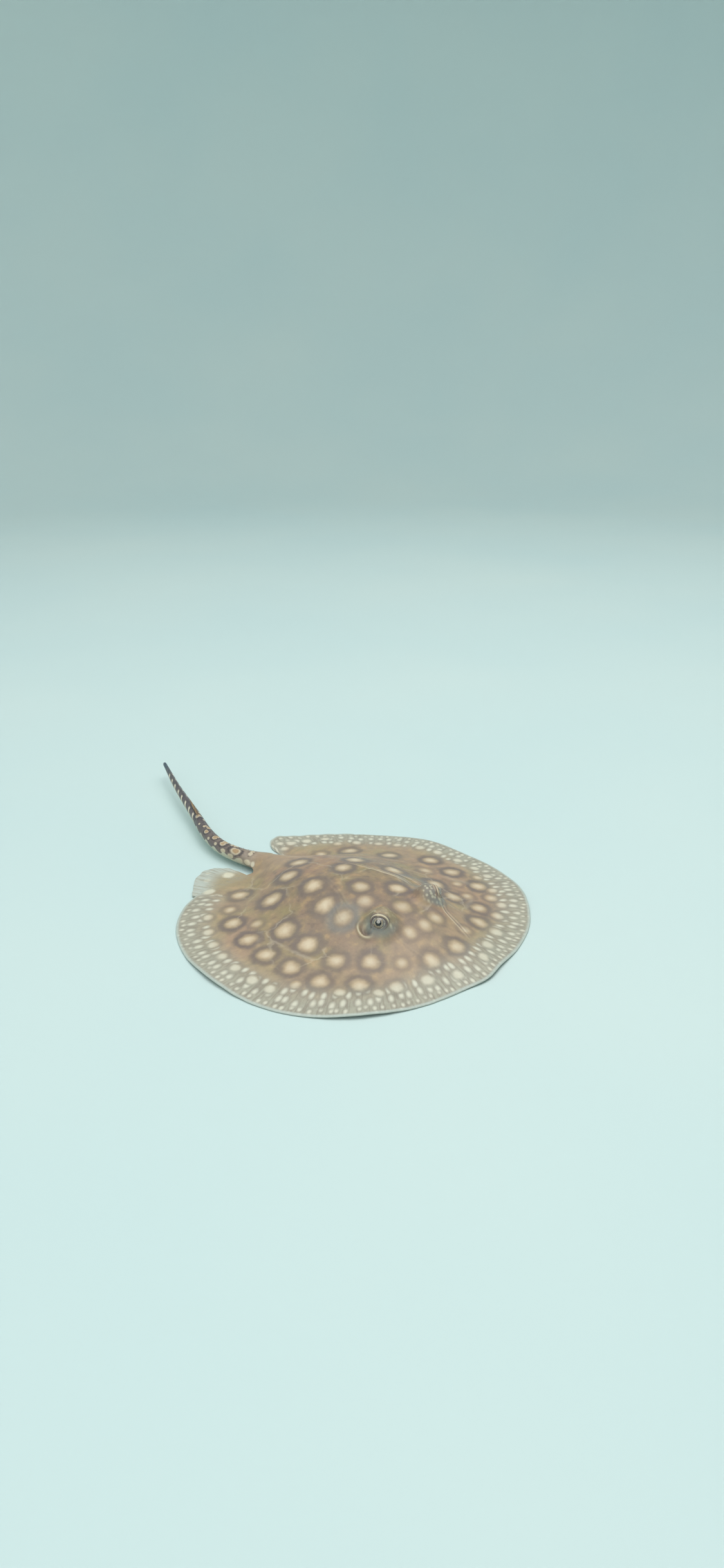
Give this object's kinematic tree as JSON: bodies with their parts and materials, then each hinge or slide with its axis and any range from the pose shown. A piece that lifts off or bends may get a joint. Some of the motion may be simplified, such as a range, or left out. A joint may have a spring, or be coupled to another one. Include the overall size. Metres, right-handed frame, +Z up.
{
  "type": "freshwater stingray",
  "caption": "Young ocellate river stingray resting on its belly: round spotted disc, raised eyes with spiracles behind, pelvic fins, and a slim barred tail with a sting.",
  "frame": {"origin": "on the flat of the belly, under the middle of the disc", "axes": "+Z up from the floor through the back, -Y towards the snout and +Y towards the tail, +X towards the animal's left"},
  "size_m": [0.203, 0.3397, 0.0263],
  "materials": {
    "spotted_skin": "smooth wet skin, golden brown to mauve brown, with cream spots in dark rings and a paler, finely dotted margin",
    "pale_fin_skin": "thin wet skin, greyish cream with paler spots",
    "tail_skin": "wet skin, brown at the root and near black further back, with cream spots and side bars",
    "sting_dentine": "hard dentine, amber to bone colour",
    "eye": "clear wet cornea over a grey and gold ringed iris with a black pupil"
  },
  "bodies": {
    "root": {"snout": "spotted_skin", "head": "spotted_skin", "trunk": "spotted_skin", "pectoral_fin_left": "spotted_skin", "pectoral_fin_right": "spotted_skin", "pelvic_fin_left": "pale_fin_skin", "pelvic_fin_right": "pale_fin_skin", "tail_base": "tail_skin", "tail_middle": "tail_skin", "tail_end": "tail_skin", "tail_sting": "sting_dentine", "eye_left": "eye", "eye_right": "eye"}
  },
  "joints": []
}
